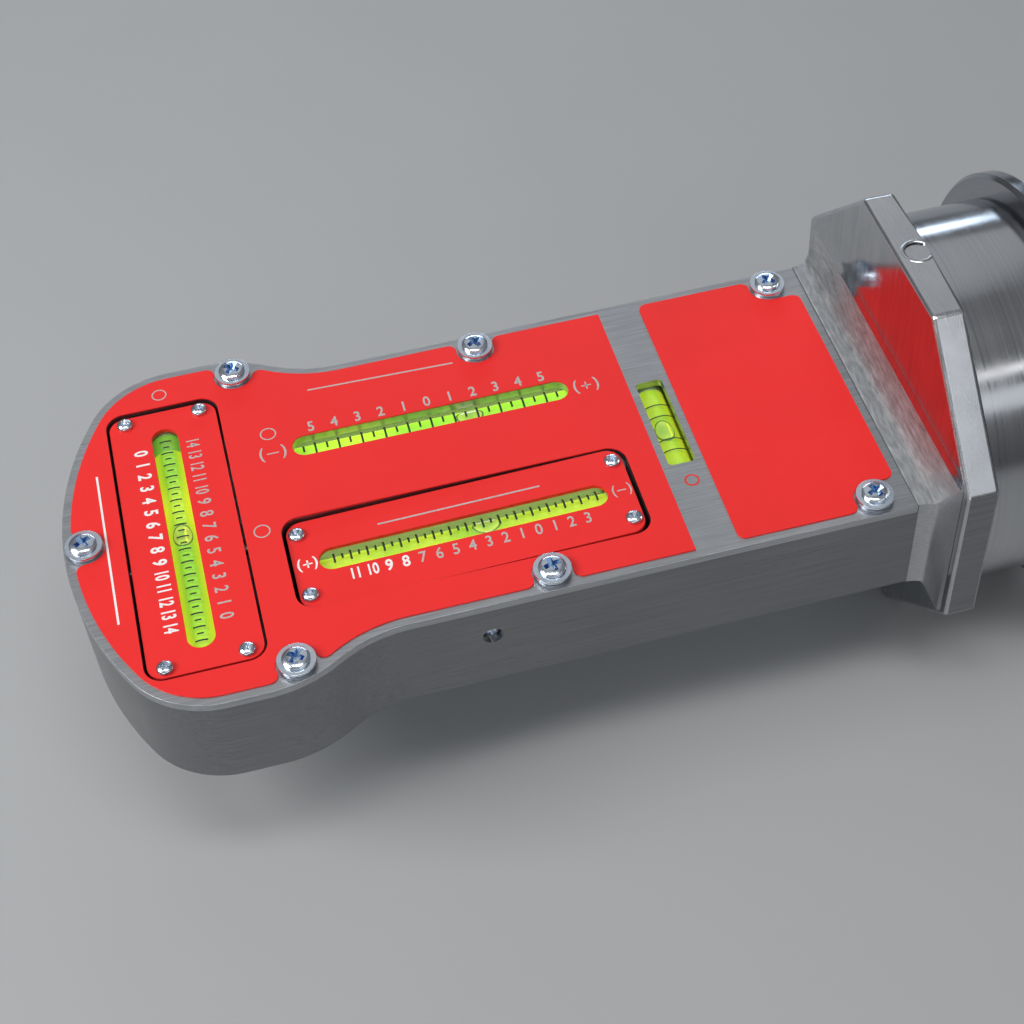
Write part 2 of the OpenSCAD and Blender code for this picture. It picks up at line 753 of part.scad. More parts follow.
// Knurled bolt that turns in the floor; its thread raises the pusher nut
module adjusting_bolt() {
    knurls = 30;
    head_top = under_z - washer_gap_t - pivot_h;
    clip_z = floor_z - well_deep - clip_t - nut_play - pivot_h;
    color("goldenrod") translate([lever, 0, 0]) difference() {
        union() {
            translate([0, 0, head_top - knob_h]) cylinder(d = knob_d, h = knob_h);
            translate([0, 0, head_top - over])
                cylinder(d = journal_d, h = clip_z + pivot_h - under_z + washer_gap_t + over);
            translate([0, 0, clip_z - over]) cylinder(d = bolt_d, h = bolt_end - clip_z + over);
        }
        for (i = [0 : knurls - 1]) rotate([0, 0, 360 * i / knurls])
            translate([knob_d / 2 + 0.2, 0, head_top - knob_h - over])
                cylinder(d = 1.2, h = knob_h + 2 * over, $fn = 16);
        translate([-knob_d, -0.6, head_top - knob_h - over])
            cube([2 * knob_d, 1.2, over + 1.5]);
    }
}
module pusher_nut(tilt) {
    color("peru") translate([lever, 0, nut_top - nut_h + lever * tan(tilt)]) difference() {
        intersection() {
            translate([-nut_w / 2, -nut_w / 2, 0]) cube([nut_w, nut_w, nut_h]);
            translate([0, 0, nut_h - nut_crown_r]) rotate([90, 0, 0])
                cylinder(r = nut_crown_r, h = 2 * nut_w, center = true, $fn = 180);
        }
        translate([0, 0, -over]) cylinder(d = bolt_d + 2 * run_gap, h = nut_h + 2 * over);
    }
}
module bolt_clip() {
    clip_z = floor_z - well_deep - clip_t - nut_play - pivot_h;
    color("dimgray") translate([lever, 0, clip_z]) linear_extrude(clip_t) difference() {
        circle(d = clip_d);
        circle(d = bolt_d + 2 * run_gap);
        translate([0, -bolt_d / 4]) square([clip_d, bolt_d / 2]);
    }
}
module return_spring(tilt) {
    color("slategray") translate([-lever, 0, floor_z - pivot_h])
        coil(spring_d, spring_wire, spring_turns,
            carrier_bottom - lever * tan(tilt) - floor_z + pivot_h - gap);
}
module bolt_friction_washers() {
    color("white") {
        at_castor(0) friction_washer();
        at_kingpin() friction_washer();
    }
}
module friction_washer() {
    translate([lever, 0, under_z - washer_gap_t - pivot_h]) linear_extrude(washer_gap_t)
        difference() {
            circle(d = knob_d - 3);
            circle(d = journal_d + 0.4);
        }
}

module castor_plate() { at_castor() dial_plate(); }
module castor_plate_screws() { at_castor() dial_plate_screws(); }
module castor_carrier() { at_castor() dial_carrier(); }
module castor_vial() { at_castor() dial_vial(); }
module castor_vial_plugs() { at_castor() dial_vial_plugs(); }
module castor_bubble() { at_castor() dial_bubble(castor_reading); }
module castor_pivot_screw() {
    color("silver") at_castor(0) pivot_screw(arm_w / 2 + castor_y);
}
module castor_pivot_pin() { color("gray") at_castor(0) pivot_pin(); }
module castor_adjusting_bolt() { at_castor(0) adjusting_bolt(); }
module castor_pusher_nut() { at_castor(0) pusher_nut(castor_set); }
module castor_bolt_clip() { at_castor(0) bolt_clip(); }
module castor_return_spring() { at_castor(0) return_spring(castor_set); }

module kingpin_plate() { at_kingpin() dial_plate(); }
module kingpin_plate_screws() { at_kingpin() dial_plate_screws(); }
module kingpin_carrier() { at_kingpin() dial_carrier(); }
module kingpin_vial() { at_kingpin() dial_vial(); }
module kingpin_vial_plugs() { at_kingpin() dial_vial_plugs(); }
module kingpin_bubble() { at_kingpin() dial_bubble(kingpin_reading); }
module kingpin_pivot_screw() {
    color("silver") at_kingpin() mirror([0, 1, 0]) pivot_screw(kingpin_at);
}
module kingpin_pivot_pin() { color("gray") at_kingpin() mirror([0, 1, 0]) pivot_pin(); }
module kingpin_adjusting_bolt() { at_kingpin() adjusting_bolt(); }
module kingpin_pusher_nut() { at_kingpin() pusher_nut(0); }
module kingpin_bolt_clip() { at_kingpin() bolt_clip(); }
module kingpin_return_spring() { at_kingpin() return_spring(0); }

// ---------------------------------------------------------------- magnetic head

module magnet_housing() {
    color("lightgray") difference() {
        union() {
            turned(housing_back, -face_ring_t, housing_d, 0, turned_chamfer, turned_chamfer);
            turned(housing_back - spigot_h + gap, housing_back + over, spigot_d, 0, 0.4, 0);
        }
        turned(cup_floor, over, housing_bore, 0, 0, 0);
        turned(housing_back - spigot_h - over, 0, neck_d + 2 * run_gap, 0, 0, 0);
        for (a = housing_screw_angles) rotate([a, 0, 0])
            translate([housing_back - over, 0, 0]) rotate([0, 90, 0])
                translate([-housing_screw_pcd / 2, 0, 0]) {
                    cylinder(d = housing_screw_d + 2 * run_gap, h = housing_floor + 2 * over);
                    translate([0, 0, over + housing_floor - housing_screw_head_h - 0.2])
                        cylinder(d = housing_screw_head_d + 0.4, h = housing_floor);
                }
        for (i = [0 : 5]) ring_screw_place(i)
            translate([0, 0, -ring_screw_l - gap]) cylinder(d = ring_screw_d + 2 * run_gap, h = housing_l);
    }
}
// Stands its children on the magnetic face at screw i, with +Z out of the face
module ring_screw_place(i) {
    rotate([30 + 60 * i, 0, 0]) translate([0, 0, ring_screw_pcd / 2]) rotate([0, 90, 0])
        children();
}
module housing_screws() {
    color("dimgray") for (a = housing_screw_angles) rotate([a, 0, 0])
        translate([cup_floor - 0.2, 0, 0]) rotate([0, 90, 0])
            translate([-housing_screw_pcd / 2, 0, 0]) difference() {
                union() {
                    translate([0, 0, -housing_screw_head_h])
                        cylinder(d = housing_screw_head_d, h = housing_screw_head_h);
                    translate([0, 0, -housing_screw_head_h - housing_screw_l])
                        cylinder(d = housing_screw_d, h = housing_screw_l + over);
                }
                translate([0, 0, -2]) cylinder(d = 3.4, h = 3, $fn = 6);
            }
}
module ring_magnet() {
    color("dimgray") turned(cup_floor, pole_back, magnet_d, neck_d + 0.4, 0.5, 0.5);
}
module inner_pole() {
    color("lightgray") difference() {
        union() {
            turned(pole_back, 0, pole_d, 0, 0, 0.3);
            turned(housing_back + gap, pole_back + over, neck_d, 0, 0.4, 0);
        }
        turned(housing_back - over, pin_back, pin_bore, 0, 0, 0);
        turned(housing_back, over, pin_d + 2 * run_gap, 0, 0, 0);
    }
}
module separator_ring() {
    color("goldenrod") turned(pole_back, 0, housing_bore - stack_play, pole_d + stack_play, 0, 0);
}
module face_ring() {
    color("whitesmoke") difference() {
        turned(-face_ring_t, 0, face_ring_d, housing_bore, turned_chamfer, turned_chamfer);
        for (i = [0 : 5]) ring_screw_place(i) {
            translate([0, 0, -housing_l]) cylinder(d = ring_screw_d + 0.4, h = housing_l + over);
            translate([0, 0, -ring_cone_h - ring_screw_sunk])
                cylinder(d1 = ring_screw_d + 0.2, d2 = ring_screw_head_d + 0.2, h = ring_cone_h);
            translate([0, 0, -ring_screw_sunk - 0.01])
                cylinder(d = ring_screw_head_d + 0.2, h = over);
        }
    }
}
module face_ring_screws() {
    color("silver") for (i = [0 : 5]) ring_screw_place(i) difference() {
        union() {
            translate([0, 0, -ring_cone_h - ring_screw_sunk])
                cylinder(d1 = ring_screw_d, d2 = ring_screw_head_d, h = ring_cone_h);
            translate([0, 0, -ring_screw_l]) cylinder(d = ring_screw_d, h = ring_screw_l - 1);
        }
        translate([0, 0, -1]) cylinder(d = 2, h = 2, $fn = 6);
    }
}
module centring_pin() {
    tip_d = pin_d * 0.42;
    tail = pin_stop - collar_t - pin_tail_l;
    groove_r = pin_d / 2 - pin_groove_t;
    color("silver") rotate([0, 90, 0]) rotate_extrude()
        polygon([[0, tail], [pin_tail_d / 2, tail],
            [pin_tail_d / 2, pin_stop - collar_t], [collar_d / 2, pin_stop - collar_t],
            [collar_d / 2, pin_stop], [pin_d / 2, pin_stop], [pin_d / 2, -pin_groove_l],
            [groove_r, -pin_groove_l], [groove_r, 0], [pin_d / 2, 0],
            [pin_d / 2, pin_out],
            [tip_d / 2, pin_out + nose_l], [0, pin_out + nose_l]]);
}
module centring_spring() {
    color("slategray") translate([seat_front + pin_play, 0, 0]) rotate([0, 90, 0])
        coil(pin_spring_d, pin_spring_wire, pin_spring_turns,
            pin_stop - collar_t - seat_front - 2 * pin_play);
}
module spring_seat_plug() {
    color("gray") turned(seat_front - seat_t, seat_front, pin_bore - 2 * run_gap, 0, 0.3, 0);
}

body_casting();
cover_plate();
dial_face();
title_face();
cover_screws();
cover_plain_washers();
cover_spring_washers();
camber_vial();
camber_vial_plugs();
camber_bubble();
level_vial();
level_vial_plugs();
level_bubble();
castor_plate();
castor_plate_screws();
castor_carrier();
castor_vial();
castor_vial_plugs();
castor_bubble();
castor_pivot_screw();
castor_pivot_pin();
castor_adjusting_bolt();
castor_pusher_nut();
castor_bolt_clip();
castor_return_spring();
kingpin_plate();
kingpin_plate_screws();
kingpin_carrier();
kingpin_vial();
kingpin_vial_plugs();
kingpin_bubble();
kingpin_pivot_screw();
kingpin_pivot_pin();
kingpin_adjusting_bolt();
kingpin_pusher_nut();
kingpin_bolt_clip();
kingpin_return_spring();
bolt_friction_washers();
magnet_housing();
housing_screws();
ring_magnet();
inner_pole();
separator_ring();
face_ring();
face_ring_screws();
centring_pin();
centring_spring();
spring_seat_plug();
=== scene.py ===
import json
import math
import random

import bmesh
import bpy
from mathutils import Matrix, Vector


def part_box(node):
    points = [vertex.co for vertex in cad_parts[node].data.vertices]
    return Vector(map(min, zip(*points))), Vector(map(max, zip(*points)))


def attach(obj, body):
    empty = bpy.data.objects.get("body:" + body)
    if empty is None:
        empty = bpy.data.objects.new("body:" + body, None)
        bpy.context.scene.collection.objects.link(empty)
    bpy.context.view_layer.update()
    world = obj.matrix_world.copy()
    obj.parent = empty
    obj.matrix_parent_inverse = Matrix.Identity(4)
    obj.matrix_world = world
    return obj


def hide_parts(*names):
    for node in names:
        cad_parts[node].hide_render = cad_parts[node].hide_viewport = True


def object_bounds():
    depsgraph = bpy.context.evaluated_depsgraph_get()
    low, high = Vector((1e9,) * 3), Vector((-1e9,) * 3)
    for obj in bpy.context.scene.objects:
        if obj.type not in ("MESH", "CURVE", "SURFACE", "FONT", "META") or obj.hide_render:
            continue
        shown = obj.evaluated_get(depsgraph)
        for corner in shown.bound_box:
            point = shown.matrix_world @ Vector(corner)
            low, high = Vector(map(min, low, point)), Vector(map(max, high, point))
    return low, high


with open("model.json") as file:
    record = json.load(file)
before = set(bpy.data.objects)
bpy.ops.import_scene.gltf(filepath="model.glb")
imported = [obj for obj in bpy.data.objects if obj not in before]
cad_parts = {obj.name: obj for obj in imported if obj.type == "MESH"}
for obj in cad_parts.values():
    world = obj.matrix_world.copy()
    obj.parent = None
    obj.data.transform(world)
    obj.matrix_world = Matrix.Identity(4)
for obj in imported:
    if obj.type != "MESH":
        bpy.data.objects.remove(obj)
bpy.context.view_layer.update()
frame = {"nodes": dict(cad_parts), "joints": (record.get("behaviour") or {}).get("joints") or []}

# ---------------------------------------------------------------- the view
# The gauge stands on a pale table top, on the edge of its magnetic head, and
# is looked at from above the dials. The table and the lamps aren't part of it.

MM = 0.001
scene = bpy.context.scene
scene.view_settings.view_transform = "Standard"

view_from = Vector((-170, -263.8, 305.8)) * MM
view_at = Vector((-119.5, -5.8, 0)) * MM
view_roll = math.radians(-4.26)
view_lens = 66.5


def facing(place, aim):
    """The turn that makes a lamp or a camera at place look at aim."""
    return (aim - place).to_track_quat("-Z", "Y").to_matrix().to_4x4()


camera = bpy.data.objects.new("camera", bpy.data.cameras.new("camera"))
camera.data.lens = view_lens
camera.data.clip_start = 10 * MM
camera.matrix_world = (
    Matrix.Translation(view_from)
    @ facing(view_from, view_at)
    @ Matrix.Rotation(view_roll, 4, "Z")
)
scene.collection.objects.link(camera)
scene.camera = camera


def soft_box(name, place, aim, width, height, power, colour=(1, 1, 1)):
    """A rectangular lamp with a diffuser, sizes in metres, power in watts."""
    lamp = bpy.data.lights.new(name, "AREA")
    lamp.shape = "RECTANGLE"
    lamp.size = width
    lamp.size_y = height
    lamp.energy = power
    lamp.color = colour
    holder = bpy.data.objects.new(name, lamp)
    holder.matrix_world = Matrix.Translation(place) @ facing(Vector(place), Vector(aim))
    scene.collection.objects.link(holder)


# The key light stands beyond the head, where the flat tops don't mirror it. The
# others soften the shade and give the metal something to mirror.
soft_box("key_box", (-0.9, -0.05, 0.65), (-0.1, 0, 0), 0.5, 0.5, 7.2)
soft_box("sky_panel", (-0.01, 0.64, 0.78), (-0.1, 0, 0), 0.9, 0.9, 0.85, (0.95, 0.98, 1))
soft_box("overhead_box", (-0.16, -0.2, 0.98), (-0.1, 0, 0), 0.7, 0.22, 3.3)
soft_box("overhead_strip", (0.3, -0.55, 0.75), (-0.02, 0, 0), 0.8, 0.06, 0.35)
soft_box("front_box", (0.05, -0.8, 0.62), (-0.02, 0, 0), 0.9, 0.22, 0.62, (0.92, 0.96, 1))
soft_box("left_box", (-0.62, -0.84, 0.3), (-0.18, 0, 0), 0.5, 0.4, 1.0, (0.92, 0.96, 1))
soft_box("rear_strip", (0.06, 0.9, 0.22), (-0.02, 0, 0), 0.6, 0.12, 1.2, (0.7, 0.84, 1))


def add(tree, kind, settings=None, **sockets):
    """Adds a shader node; a socket's value is a number, a colour or an output."""
    made = tree.nodes.new("ShaderNode" + kind)
    for key, value in (settings or {}).items():
        setattr(made, key, value)
    for key, value in sockets.items():
        socket = made.inputs[key.replace("_", " ")]
        if isinstance(value, bpy.types.NodeSocket):
            tree.links.new(value, socket)
        else:
            socket.default_value = value
    return made


def new_finish(name, **sockets):
    """A material of one Principled shader, with the values given set on it."""
    finish = bpy.data.materials.new(name)
    finish.use_nodes = True
    shader = finish.node_tree.nodes["Principled BSDF"]
    for key, value in sockets.items():
        shader.inputs[key.replace("_", " ")].default_value = value
    return finish, finish.node_tree, shader


def grain_of(tree, scale, detail, roughness=0.6):
    """Noise on the piece's own coordinates, scale in cycles per metre each way."""
    place = add(tree, "TexCoord").outputs["Object"]
    moved = add(tree, "Mapping", Vector=place, Scale=scale).outputs[0]
    noise = add(tree, "TexNoise", Vector=moved, Scale=1.0, Detail=detail, Roughness=roughness)
    return noise.outputs["Fac"]


def spread(tree, fac, low, high, begin=0.3, end=0.7):
    """Maps noise to a range of values."""
    made = add(tree, "MapRange", Value=fac)
    for key, value in zip(("From Min", "From Max", "To Min", "To Max"), (begin, end, low, high)):
        made.inputs[key].default_value = value
    return made.outputs["Result"]


def blend_colour(tree, fac, dark, light):
    """A colour between two, by a factor."""
    made = add(tree, "Mix", {"data_type": "RGBA"})
    tree.links.new(fac, made.inputs[0])
    for socket, value in ((6, dark), (7, light)):
        if isinstance(value, bpy.types.NodeSocket):
            tree.links.new(value, made.inputs[socket])
        else:
            made.inputs[socket].default_value = (*value, 1)
    return made.outputs[2]


def coloured(tree, shader, fac, dark, light):
    """Gives a shader a colour between two, by a factor."""
    tree.links.new(blend_colour(tree, fac, dark, light), shader.inputs["Base Color"])


def raise_grain(tree, shader, height, depth):
    """Bump from a height, depth in metres."""
    bump = add(tree, "Bump", Height=height, Distance=depth, Strength=1.0)
    tree.links.new(bump.outputs["Normal"], shader.inputs["Normal"])


# The table top is matt and pale, so that the bright metal stands out from it.
table_finish, tree, shader = new_finish("table_top", Roughness=0.75)
table_dark, table_pale = (0.34, 0.345, 0.35), (0.38, 0.385, 0.39)
coloured(tree, shader, grain_of(tree, (6, 6, 6), detail=3), table_dark, table_pale)
table_half = 3
bm = bmesh.new()
bmesh.ops.create_grid(bm, x_segments=1, y_segments=1, size=table_half)
table = bpy.data.objects.new("table_top", bpy.data.meshes.new("table_top"))
table_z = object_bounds()[0][2]
bmesh.ops.translate(bm, verts=bm.verts, vec=(0, 0, table_z))
bm.to_mesh(table.data)
bm.free()
table.data.materials.append(table_finish)
scene.collection.objects.link(table)

# The room is dim, and a little brighter overhead.
wall_shade, ceiling_shade = (0.1, 0.1, 0.105), (0.2, 0.205, 0.215)
ceiling_from = 0.55
room = bpy.data.worlds.new("room")
scene.world = room
room.use_nodes = True
tree = room.node_tree
outward = add(tree, "TexCoord").outputs["Generated"]
height = add(tree, "SeparateXYZ", Vector=outward).outputs["Z"]
walls = blend_colour(tree, spread(tree, height, 0, 1, 0.0, ceiling_from), wall_shade, ceiling_shade)
tree.links.new(walls, tree.nodes["Background"].inputs["Color"])


# ---------------------------------------------------------------- body casting
# The arm, its rounded head and the eight-sided flange are one aluminium
# casting. Its sides are linished along their length and painted darker than
# the rest, as painted shade; the flange is polished by hand, and the strip
# beside the flange is left rough.

smudge_grey = (0.45, 0.46, 0.48, 1)
brush_along = (40, 2500, 2500)


def sums(tree, operation, *values):
    """A maths node on sockets or numbers."""
    made = add(tree, "Math", {"operation": operation})
    for socket, value in zip(made.inputs, values):
        if isinstance(value, bpy.types.NodeSocket):
            tree.links.new(value, socket)
        else:
            socket.default_value = value
    return made.outputs[0]


def brushed_finish(
    name, colour, rough, stretch, depth, shade=0.75, smudge=0.12, rough_band=0.1, wave=0, lean=0
):
    """Bare metal with fine scratches along one way and faint smudges.

    Wave is the unevenness that hand polishing leaves, in scratch depths, and
    lean tips the surface's shading upwards, as a tangent.
    """
    finish, tree, shader = new_finish(name, Metallic=1.0)
    scratch = grain_of(tree, stretch, detail=5, roughness=0.65)
    cloud = grain_of(tree, (45, 45, 45), detail=3)
    dark = tuple(c * shade for c in colour)
    fine = blend_colour(tree, spread(tree, scratch, 0, 1), dark, colour)
    smudged = add(tree, "Mix", {"data_type": "RGBA", "blend_type": "MULTIPLY"})
    tree.links.new(spread(tree, cloud, 0, smudge), smudged.inputs[0])
    tree.links.new(fine, smudged.inputs[6])
    smudged.inputs[7].default_value = smudge_grey
    tree.links.new(smudged.outputs[2], shader.inputs["Base Color"])
    bands = spread(tree, scratch, rough, rough + rough_band)
    uneven = sums(tree, "ADD", bands, spread(tree, cloud, 0, 0.06))
    tree.links.new(uneven, shader.inputs["Roughness"])
    height = scratch
    if wave:
        height = sums(tree, "ADD", height, sums(tree, "MULTIPLY", cloud, wave))
    if lean:
        place = add(tree, "TexCoord").outputs["Object"]
        level = add(tree, "SeparateXYZ", Vector=place).outputs["Z"]
        height = sums(tree, "SUBTRACT", height, sums(tree, "MULTIPLY", level, lean / depth))
    raise_grain(tree, shader, height, depth)
    return finish


# The sides' dark colour is painted shade, laid over real linishing lines.
dark_painted_side_metal = brushed_finish("linished_sides_painted_dark", (0.29, 0.295, 0.305), 0.24, brush_along, 0.02 * MM)
satin_metal = brushed_finish(
    "satin_flats", (0.62, 0.63, 0.65), 0.3, (300, 2600, 2600), 0.02 * MM
)
polished_metal = brushed_finish(
    "polished_flange", (0.6, 0.61, 0.63), 0.07, (900, 900, 60), 0.004 * MM,
    shade=0.8, smudge=0.3, rough_band=0.06, wave=10, lean=0.12,
)
strip_metal = brushed_finish(
    "scraped_strip", (0.62, 0.63, 0.64), 0.42, (1500, 300, 1500), 0.05 * MM,
    shade=0.6, smudge=0.25, rough_band=0.14,
)
rim_metal = brushed_finish(
    "polished_rim", (0.64, 0.65, 0.67), 0.17, (2200, 200, 200), 0.004 * MM,
    shade=0.85, smudge=0.25, rough_band=0.08, wave=50,
)


def merged_copy(node):
    """A CAD node's mesh as one connected bmesh, its flat faces whole."""
    bm = bmesh.new()
    bm.from_mesh(frame["nodes"][node].data)
    bmesh.ops.remove_doubles(bm, verts=bm.verts, dist=0.002 * MM)
    bmesh.ops.dissolve_limit(
        bm, angle_limit=math.radians(0.4), verts=bm.verts, edges=bm.edges, delimit={"NORMAL"}
    )
    return bm


def sharp_edges(bm, least, where=None):
    """Outside corners sharper than least degrees, in the region asked for."""
    found = []
    for edge in bm.edges:
        if not edge.is_manifold or edge.calc_face_angle_signed(0) < math.radians(least):
            continue
        centre = (edge.verts[0].co + edge.verts[1].co) / 2
        if where is None or where(centre, edge):
            found.append(edge)
    return found


def round_off(bm, edges, width, segments, clamp=True):
    """Rounds edges as a file or a tumbling drum would."""
    bmesh.ops.bevel(
        bm, geom=edges, offset=width, offset_type="OFFSET", segments=segments,
        profile=0.5, affect="EDGES", clamp_overlap=clamp, material=-1,
    )


def finished(bm, name, body, finishes, replaced=(), smooth=32, weighted=True):
    """Makes the piece of a bmesh, gives it its finish and seats it on its body."""
    mesh = bpy.data.meshes.new(name)
    bm.to_mesh(mesh)
    bm.free()
    for finish in finishes if isinstance(finishes, (list, tuple)) else [finishes]:
        mesh.materials.append(finish)
    mesh.shade_smooth()
    mesh.set_sharp_from_angle(angle=math.radians(smooth))
    piece = bpy.data.objects.new(name, mesh)
    scene.collection.objects.link(piece)
    if weighted:
        even = piece.modifiers.new("even_shading", "WEIGHTED_NORMAL")
        even.keep_sharp = True
    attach(piece, body)
    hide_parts(*replaced)


bm = merged_copy("body_casting")
flange_from = -35.2 * MM
flange_round = 1.2 * MM
strip_from = flange_from - 6.5 * MM
arm_half = 37 * MM
arm_crown = 11.2 * MM
arm_foot = -13.3 * MM
rim = 44 * MM


def on_flange_rim(point, edge):
    """Edges of the flange's outside, those cut by the round mark left out."""
    across = max(abs(point.y), abs(point.z), (abs(point.y) + abs(point.z)) / math.sqrt(2))
    return across > rim and point.x > flange_from - 0.1 * MM and edge.calc_length() > 3 * MM


def on_arm_outline(point, edge):
    """The bottom edge of the arm and head."""
    low = point.z < arm_foot and point.x < strip_from - 0.1 * MM
    return low and edge.calc_length() > 0.2 * MM


round_off(bm, sharp_edges(bm, 35, on_flange_rim), 1.0 * MM, 4, clamp=False)
round_off(bm, sharp_edges(bm, 40, on_arm_outline), 0.35 * MM, 2, clamp=False)
# A face's finish follows from where it lies and which way it looks.
casting_finishes = [dark_painted_side_metal, satin_metal, polished_metal, strip_metal, rim_metal]
dark_painted_side, satin, polished, scraped, rounded = range(len(casting_finishes))
for face in bm.faces:
    centre, normal = face.calc_center_median(), face.normal
    if centre.x > flange_from - flange_round and abs(normal.x) > 0.98:
        face.material_index = polished
    # The flange's flats facing -Y take the dark side metal: painted shade on that side.
    elif centre.x > flange_from and normal.y < -0.9:
        face.material_index = dark_painted_side
    elif centre.x > flange_from:
        face.material_index = rounded
    elif centre.x > strip_from and abs(centre.y) < arm_half and centre.z > arm_crown:
        face.material_index = scraped
    elif centre.x > strip_from or normal.z < -0.7:
        face.material_index = satin
finished(bm, "arm_casting", "gauge", casting_finishes, ["body_casting"])

# The round cast mark on top of the flange has a raised lip, open at the edge.
mark_middle = Vector((-30.55, 0.2, 45)) * MM
mark_radius = 3.1 * MM
lip = [(-0.42, -0.02), (-0.16, 0.2), (0.12, 0.2), (0.42, -0.02)]
lip_begin, lip_turn = math.radians(-42), math.radians(264)
bm = bmesh.new()
ring = [bm.verts.new(mark_middle + Vector((0, mark_radius + out * MM, up * MM))) for out, up in lip]
edges = [bm.edges.new((ring[i], ring[(i + 1) % 4])) for i in range(4)]
bmesh.ops.rotate(bm, verts=ring, cent=mark_middle, matrix=Matrix.Rotation(lip_begin, 3, "Z"))
bmesh.ops.spin(bm, geom=ring + edges, cent=mark_middle, axis=(0, 0, 1), angle=lip_turn, steps=40)
bmesh.ops.holes_fill(bm, edges=bm.edges[:], sides=4)
bmesh.ops.recalc_face_normals(bm, faces=bm.faces)
finished(bm, "cast_mark_lip", "gauge", rim_metal, smooth=50)


# ---------------------------------------------------------------- cover plate
# A sheet of rolled aluminium milled to the arm's outline with the windows for
# the dials. Its grain runs along the arm, and its edge is broken all round.

sheet_metal = brushed_finish(
    "rolled_sheet", (0.6, 0.61, 0.63), 0.26, (60, 2400, 2400), 0.03 * MM,
    shade=0.68, smudge=0.25, rough_band=0.14,
)
bm = merged_copy("cover_plate")
cover_crown = 11 * MM
neck_from = -160 * MM
window_room = 1.5 * MM
window_low, window_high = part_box("kingpin_plate")


def on_cover_outline(point, edge):
    """The cover's outer top edge, but not the edges of its windows."""
    outside = abs(point.y) > window_high.y + window_room or point.x < window_low.x - window_room
    beside = point.x > neck_from and abs(point.y) > arm_half
    return point.z > cover_crown and (outside or beside)


round_off(bm, sharp_edges(bm, 40, on_cover_outline), 0.55 * MM, 3)
finished(bm, "cover_sheet", "gauge", sheet_metal, ["cover_plate"])


# ---------------------------------------------------------------- red faces
# Thin red plates with a silver print, glued to the cover. The print is the
# scale's figures and signs, and plain ruled lines and circles.


def enamel_finish(name, colour, rough):
    """Baked red enamel with a soft gloss and a trace of orange peel."""
    finish, tree, shader = new_finish(name, Metallic=0.0, Specular_IOR_Level=0.3)
    shader.inputs["Coat Weight"].default_value = 0.12
    shader.inputs["Coat Roughness"].default_value = 0.22
    peel = grain_of(tree, (700, 700, 700), detail=2)
    cloud = grain_of(tree, (35, 35, 35), detail=3)
    dark = tuple(c * 0.93 for c in colour)
    coloured(tree, shader, spread(tree, cloud, 0, 1), dark, colour)
    tree.links.new(spread(tree, cloud, rough, rough + 0.08), shader.inputs["Roughness"])
    raise_grain(tree, shader, peel, 0.006 * MM)
    return finish


red_enamel = enamel_finish("red_enamel", (0.8, 0.02, 0.018), 0.42)
enamel_crown = 11.4 * MM
for node in ("dial_face", "title_face"):
    bm = merged_copy(node)
    round_off(bm, sharp_edges(bm, 40, lambda point, edge: point.z > enamel_crown), 0.08 * MM, 2)
    finished(bm, f"{node}_enamel", "gauge", red_enamel, [node])


def ink_finish(name, dark, light):
    """Screen-printed ink with a fine metal flake in it."""
    finish, tree, shader = new_finish(name, Metallic=0.3, Roughness=0.45)
    flake = grain_of(tree, (2600, 2600, 2600), detail=2)
    coloured(tree, shader, spread(tree, flake, 0, 1), dark, light)
    return finish


silver_ink = ink_finish("silver_ink", (0.42, 0.38, 0.36), (0.6, 0.56, 0.54))
white_ink = ink_finish("white_ink", (0.86, 0.84, 0.82), (1.0, 0.98, 0.96))
red_ink = ink_finish("red_ink", (0.66, 0.03, 0.025), (0.82, 0.05, 0.04))

ink_depth = 0.03 * MM
figure_height = 2.85 * MM
cap_height = 0.72
one_squeezed, two_squeezed = 0.82, 0.66


def figure(text, height, squeeze, weight):
    """A printed figure as a mesh, centred, height tall, as thick as the ink."""
    curve = bpy.data.curves.new("figure", "FONT")
    curve.body = text
    curve.align_x = "CENTER"
    curve.align_y = "CENTER"
    curve.size = height / cap_height
    curve.offset = weight * curve.size
    curve.extrude = ink_depth / 2
    curve.resolution_u = 4
    holder = bpy.data.objects.new("figure", curve)
    mesh = bpy.data.meshes.new_from_object(holder)
    low = min(v.co.y for v in mesh.vertices)
    high = max(v.co.y for v in mesh.vertices)
    centred = Matrix.Translation((0, -(low + high) / 2, 0))
    mesh.transform(Matrix.Scale(squeeze, 4, (1, 0, 0)) @ centred)
    bpy.data.objects.remove(holder)
    return mesh


def ruled_bar(bm, place, length, width):
    """A printed line: a thin bar along X of its place."""
    bmesh.ops.create_cube(bm, size=1, matrix=place @ Matrix.Diagonal((length, width, ink_depth, 1)))


def ruled_ring(bm, place, radius, width):
    """A printed circle."""
    half_width, half_depth = width / 2, ink_depth / 2
    section = [(-half_width, -half_depth), (-half_width, half_depth)]
    section += [(half_width, half_depth), (half_width, -half_depth)]
    ring = [bm.verts.new(place @ Vector((radius + out, 0, up))) for out, up in section]
    edges = [bm.edges.new((ring[i], ring[(i + 1) % 4])) for i in range(4)]
    axis = (place.to_3x3() @ Vector((0, 0, 1))).normalized()
    bmesh.ops.spin(
        bm, geom=ring + edges, cent=place.translation, axis=axis, angle=math.tau, steps=40,
        use_merge=True,
    )


def on_face(face, x, y, turn=0):
    """A spot on a printed face, in mm and degrees."""
    moved = Matrix.Translation((x * MM, y * MM, 0))
    return face @ moved @ Matrix.Rotation(math.radians(turn), 4, "Z")


